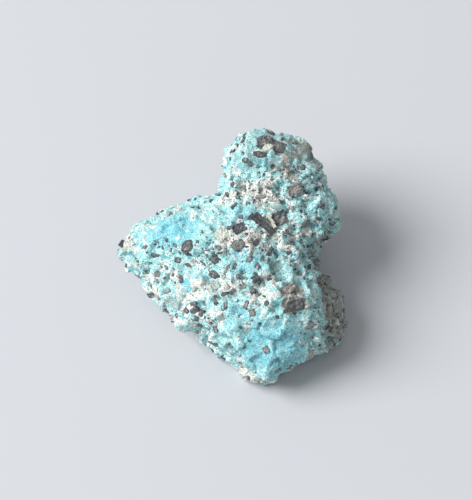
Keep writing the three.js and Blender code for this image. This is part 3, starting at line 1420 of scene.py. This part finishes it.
@dataclass
class Surface:
    """The weathered skin as plain arrays: places in millimetres, facings and grounds."""

    mesh: bpy.types.Mesh
    calming: int = 12  # how many times a facing is averaged with those around it
    fraying: float = 0.12  # how ragged the outlines of the grains' hollows are
    deepest: float = 0.6  # how far a grain's hollow cuts into the skin over it
    headroom: float = 0.15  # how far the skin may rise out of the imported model's box
    places: np.ndarray = field(init=False)
    facings: np.ndarray = field(init=False)
    grounds: dict[Ground, np.ndarray] = field(init=False)
    tree: KDTree = field(init=False)

    def __post_init__(self) -> None:
        """Reads the arrays off the mesh."""
        self.places = places_of(self.mesh)
        self.facings = self.calm_facings()
        self.grounds = {ground: read_numbers(self.mesh, ground.value) for ground in Ground}
        self.tree = KDTree(len(self.places))
        for index, place in enumerate(self.places):
            self.tree.insert(place, index)
        self.tree.balance()

    def calm_facings(self) -> np.ndarray:
        """Each vertex's facing, averaged over the vertices around it.

        Returns:
            A row of length 1 for each vertex.
        """
        facings = facings_of(self.mesh)
        edges = np.empty(len(self.mesh.edges) * 2, np.int32)
        self.mesh.edges.foreach_get("vertices", edges)
        first, second = edges.reshape(-1, 2).T
        for _ in range(self.calming):
            total = facings.copy()
            np.add.at(total, first, facings[second])
            np.add.at(total, second, facings[first])
            facings = total / np.linalg.norm(total, axis=1)[:, None]
        return facings

    def dig(self, sink: np.ndarray) -> None:
        """Lowers the skin along its facings."""
        self.places = self.places - self.facings * sink[:, None]

    def seat_hollows(self, seats: Seats, depth: float, brim: float) -> None:
        """Sinks the skin round every grain.

        Args:
            seats: The grains.
            depth: How far the skin drops beside a grain.
            brim: How far from the grain the skin is back at its old level.
        """
        sink = np.zeros(len(self.places))
        ragged = 1.0 + self.fraying * np.sin(self.places @ RAGGED_WAVES).sum(axis=1)
        for place, turn, half in zip(seats.places, seats.turns, seats.halves):
            across = np.array(Euler(turn).to_matrix())
            reach = float(np.linalg.norm(half)) + brim
            found = [index for _, index, _ in self.tree.find_range(place, reach)]
            if not found:
                continue
            local = (self.places[found] - place) @ across
            share = np.linalg.norm(local[:, :2] / half[:2], axis=1) * ragged[found]
            outside = (share - 1.0) * float(np.mean(half[:2]))
            closeness = 1.0 - smoothstep(0.0, brim, outside)
            above = local[:, 2] - (half[2] - depth)
            drop = np.clip(above, 0.0, self.deepest) + depth / 2
            sink[found] = np.maximum(sink[found], closeness * drop)
        self.dig(sink)

    def settle(self) -> None:
        """Writes the places back, no lower than the resting face and inside the stone's own box."""
        low, high = (np.array(corner) / MM for corner in CAD_BOX)
        self.places = np.clip(self.places, low, high + self.headroom)
        set_places(self.mesh, self.places)


@dataclass
class Crystals:
    """Grains of one family, set into their seats."""

    name: str
    material: bpy.types.Material
    chipping: float = 0.5
    chip_size: float = 0.32
    fineness: int = 0

    def mesh(self, seats: Seats) -> bpy.types.Mesh:
        """Grows a crystal at every seat.

        Args:
            seats: Where the crystals sit.

        Returns:
            All the crystals as one plain mesh.
        """
        host = linked(self.name + "_seats", seats.mesh(self.name + "_seats"))
        mesh = self.tree().grow(host)
        bpy.data.objects.remove(host)
        mesh.materials.clear()
        mesh.materials.append(self.material)
        return mesh

    def tree(self) -> GeometryTree:
        """The tree that puts a block, a prism or a lump at every seat and chips it.

        Returns:
            The tree.
        """
        t = GeometryTree(
            self.name + "_growth",
            {
                "Chipping": self.chipping,
                "Chip Size": self.chip_size,
                "Fineness": self.fineness,
                "Material": self.material,
            },
        )
        half = t.stored("half", "FLOAT_VECTOR")
        turn = t.node("FunctionNodeEulerToRotation", ports={0: t.stored("turn", "FLOAT_VECTOR")})[0]
        ports: Ports = {
            "Points": t.inputs["Geometry"],
            "Instance": self.shapes(t),
            "Pick Instance": True,
            "Instance Index": t.stored("habit", "INT"),
            "Rotation": turn,
            "Scale": half,
        }
        seated = t.node("GeometryNodeInstanceOnPoints", ports=ports)[0]
        real = t.node("GeometryNodeRealizeInstances", ports={"Geometry": seated})[0]
        luck = t.node("FunctionNodeRandomValue", {"data_type": "FLOAT"}, {"Seed": SEED})["Value"]
        real = t.store(real, "facet", luck, "FACE")
        fine = t.node("GeometryNodeSubdivideMesh", ports={"Mesh": real, "Level": t.inputs["Fineness"]})[0]

        place = t.node("GeometryNodeInputPosition")[0] / MM
        ports = {"Vector": place / t.inputs["Chip Size"], "Scale": 1.0, "Detail": 2.0, "Roughness": 0.6}
        shift = t.node("ShaderNodeTexNoise", ports=ports)["Color"] - 0.5
        width = half.part("X").least(half.part("Y"))
        t.close(t.moved(fine, shift * (t.inputs["Chipping"] * width * 4.0)))
        return t

    @staticmethod
    def shapes(t: GeometryTree) -> Socket:
        """A block, a prism and a lump, each about 2 across, in the order of their habits.

        Args:
            t: The tree that the nodes go in.

        Returns:
            The three as instances, whose points store how far they are from the upright middle line.
        """
        block = t.node("GeometryNodeMeshCube", ports={"Size": (1.7, 1.7, 2.0)})["Mesh"]
        block = t.node("GeometryNodeSubdivideMesh", ports={"Mesh": block, "Level": 1})[0]
        ports: Ports = {"Vertices": 6, "Radius": 1.0, "Depth": 2.0}
        prism = t.node("GeometryNodeMeshCylinder", ports=ports)["Mesh"]
        lump = t.node("GeometryNodeMeshIcoSphere", ports={"Radius": 1.0, "Subdivisions": 2})["Mesh"]
        place = t.node("GeometryNodeInputPosition")[0]
        flattened = (place * (1.0, 1.0, 1.7)).most((-1.0, -1.0, -1.0)).least((1.0, 1.0, 1.0))
        lump = t.node("GeometryNodeSetPosition", ports={"Geometry": lump, "Position": flattened})[0]
        core = t.node("ShaderNodeVectorMath", {"operation": "LENGTH"}, {0: place * (1.0, 1.0, 0.0)})["Value"]
        shapes = t.node("GeometryNodeJoinGeometry")
        for shape in (lump, prism, block):  # the last one linked becomes the first instance
            one = t.node("GeometryNodeGeometryToInstance", ports={0: t.store(shape, "core", core)})[0]
            t.feed(shapes.node.inputs[0], one)
        return shapes[0]


def joined_mesh(name: str, meshes: list[bpy.types.Mesh]) -> bpy.types.Mesh:
    """Several meshes of one material as one.

    Args:
        name: What the pieces are called meanwhile.
        meshes: The meshes.

    Returns:
        The whole.
    """
    owners = [linked(f"{name}_{i}", mesh) for i, mesh in enumerate(meshes)]
    with bpy.context.temp_override(active_object=owners[0], selected_editable_objects=owners):
        bpy.ops.object.join()
    mesh = owners[0].data
    bpy.data.objects.remove(owners[0])
    return mesh


# ---------------------------------------------------------------------------------------------
# The whole nugget, and the place it is shown in
# ---------------------------------------------------------------------------------------------


@dataclass
class Nugget:
    """The skin and both families of grains."""

    skin: Skin = field(default_factory=Skin)
    moat_depth: float = 0.1
    moat_brim: float = 0.22
    dark_chipping: float = 0.18
    quartz_chipping: float = 0.2

    def build(self) -> list[bpy.types.Object]:
        """Builds and dresses every piece.

        Returns:
            The finished pieces.
        """
        self.skin.build(TurquoiseFinish().material())
        surface = Surface(self.skin.mesh)
        pit = sum(hollow.sink(surface.places) for hollow in HOLLOWS)
        surface.dig(pit)

        dice = np.random.default_rng(SEED)
        dark_large = self.large(DARK_GRAINS, surface)
        quartz_large = self.large(QUARTZ_GRAINS, surface)
        large = dark_large.joined(quartz_large)
        medium = MEDIUM_GRAINS.seats(surface, large, dice)
        taken = large.joined(medium)
        surface.seat_hollows(taken, self.moat_depth, self.moat_brim)
        pepper = PEPPER_GRAINS.seats(surface, taken, dice)
        pale = PALE_GRAINS.seats(surface, taken, dice)
        surface.settle()
        # The hollows' depth is stored for the stone's material, which darkens the deeper ones as painted
        # shade.
        store_numbers(surface.mesh, "pit", pit)

        stone = self.piece("stone", surface.mesh, "turquoise_stone", smooth=True)
        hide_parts(STONE_NODE)
        dark_mesh = self.family("dark", DARK_FINISH, medium.joined(pepper), dark_large, self.dark_chipping)
        dark = self.piece("dark_grains", dark_mesh, "dark_grains")
        quartz_mesh = self.family("quartz", QUARTZ_FINISH, pale, quartz_large, self.quartz_chipping)
        quartz = self.piece("quartz_grains", quartz_mesh, "quartz_grains")
        return [stone, dark, quartz]

    @staticmethod
    def large(grains: tuple[Grain, ...], surface: Surface) -> Seats:
        """Seats each large grain at the point of the skin that is nearest to its place.

        Args:
            grains: The grains.
            surface: The skin.

        Returns:
            Their seats.
        """
        seats = Seats()
        for grain in grains:
            _, vertex, _ = surface.tree.find(grain.at)
            seats.add(grain, surface.places[vertex], surface.facings[vertex])
        return seats

    @staticmethod
    def family(name: str, finish: GrainFinish, small: Seats, large: Seats, chipping: float) -> bpy.types.Mesh:
        """All the grains of one family.

        Args:
            name: The family's name.
            finish: What its grains look like.
            small: Where its small grains sit.
            large: Where its large grains sit.
            chipping: How much the large ones are chipped.

        Returns:
            The grains as one mesh.
        """
        material = finish.material()
        small_mesh = Crystals(name + "_small", material).mesh(small)
        large_mesh = Crystals(name + "_large", material, chipping, fineness=2).mesh(large)
        return joined_mesh(name, [small_mesh, large_mesh])

    @staticmethod
    def piece(name: str, mesh: bpy.types.Mesh, slot: str, smooth: bool = False) -> bpy.types.Object:
        """Puts a finished piece in the scene, on the stone's body.

        Args:
            name: The piece's name.
            mesh: Its mesh.
            slot: The record's material slot for the piece. It is not used.
            smooth: Whether its faces are shaded as one surface.

        Returns:
            The piece.
        """
        mesh.name = name
        if smooth:
            mesh.shade_smooth()
        else:
            mesh.shade_flat()
        piece = linked(name, mesh)
        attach(piece, BODY)
        return piece


@dataclass(frozen=True)
class Studio:
    """A pale floor, soft light from high on the left and a camera that looks down on the stone."""

    target: Triple = (0.47, 2.93, 5.18)
    elevation: float = 55.0
    distance: float = 350.0
    field_height: float = 65.0
    sensor: float = 36.0
    floor_span: float = 3000.0
    floor_colour: Triple = (0.565, 0.58, 0.61)
    floor_cloud: float = 60.0  # how far apart the floor's faint clouds are
    floor_paler: float = 1.02  # how much paler they are than the floor
    sky: float = 0.405
    sky_colour: Triple = (0.97, 0.98, 1.0)
    key_power: float = 20.5
    key_size: float = 900.0
    key_from: Triple = (-900.0, -55.0, 845.0)
    key_colour: Triple = (1.0, 1.0, 1.0)
    nearest: float = 10.0  # the camera sees nothing nearer
    farthest: float = 10000.0  # or farther away

    def build(self) -> None:
        """Builds the floor, the light and the camera."""
        self.lay_floor()
        self.hang_light()
        self.aim_camera()

    def lay_floor(self) -> None:
        """Lays the floor at the height that the stone rests on."""
        half = self.floor_span / 2 * MM
        mesh = bpy.data.meshes.new("floor")
        corners = [(-half, -half, 0.0), (half, -half, 0.0), (half, half, 0.0), (-half, half, 0.0)]
        mesh.from_pydata(corners, [], [(0, 1, 2, 3)])
        s = Shader("pale_floor")
        place = s.node("ShaderNodeTexCoord")["Object"] / MM
        paler = tuple(part * self.floor_paler for part in self.floor_colour)
        colour = s.mix(s.noise(place, self.floor_cloud), self.floor_colour, paler)
        mesh.materials.append(s.finish({"Base Color": colour, "Roughness": 0.8}))
        linked("floor", mesh)

    def hang_light(self) -> None:
        """Hangs one large soft lamp and fills the room with even light."""
        lamp = bpy.data.lights.new("key", "AREA")
        lamp.shape = "DISK"
        lamp.size = self.key_size * MM
        lamp.energy = self.key_power
        lamp.color = self.key_colour
        holder = bpy.data.objects.new("key", lamp)
        bpy.context.scene.collection.objects.link(holder)
        holder.location = Vector(self.key_from) * MM
        holder.rotation_euler = (-holder.location).to_track_quat("-Z", "Y").to_euler()
        world = bpy.data.worlds.new("room")
        world.use_nodes = True
        back = world.node_tree.nodes["Background"]
        back.inputs["Color"].default_value = (*self.sky_colour, 1.0)
        back.inputs["Strength"].default_value = self.sky
        bpy.context.scene.world = world
        bpy.context.scene.view_settings.view_transform = "Standard"

    def aim_camera(self) -> None:
        """Aims the camera down at the stone from in front."""
        eye = bpy.data.cameras.new("camera")
        eye.sensor_width = self.sensor
        eye.lens = self.sensor * self.distance / self.field_height
        eye.clip_start = self.nearest * MM
        eye.clip_end = self.farthest * MM
        holder = bpy.data.objects.new("camera", eye)
        bpy.context.scene.collection.objects.link(holder)
        slope = math.radians(self.elevation)
        back = Vector((0.0, -math.cos(slope), math.sin(slope)))
        holder.location = (Vector(self.target) + back * self.distance) * MM
        holder.rotation_euler = back.to_track_quat("Z", "Y").to_euler()
        bpy.context.scene.camera = holder


def main() -> None:
    """Builds the nugget and its setting, and writes how large it came out."""
    logging.basicConfig(level=logging.INFO, format="%(name)s: %(message)s")
    Studio().build()
    for piece in Nugget().build():
        triangles = sum(len(polygon.vertices) - 2 for polygon in piece.data.polygons)
        log.info("%s: %d triangles", piece.name, triangles)
    bpy.context.view_layer.update()


if __name__ == "__main__":
    main()
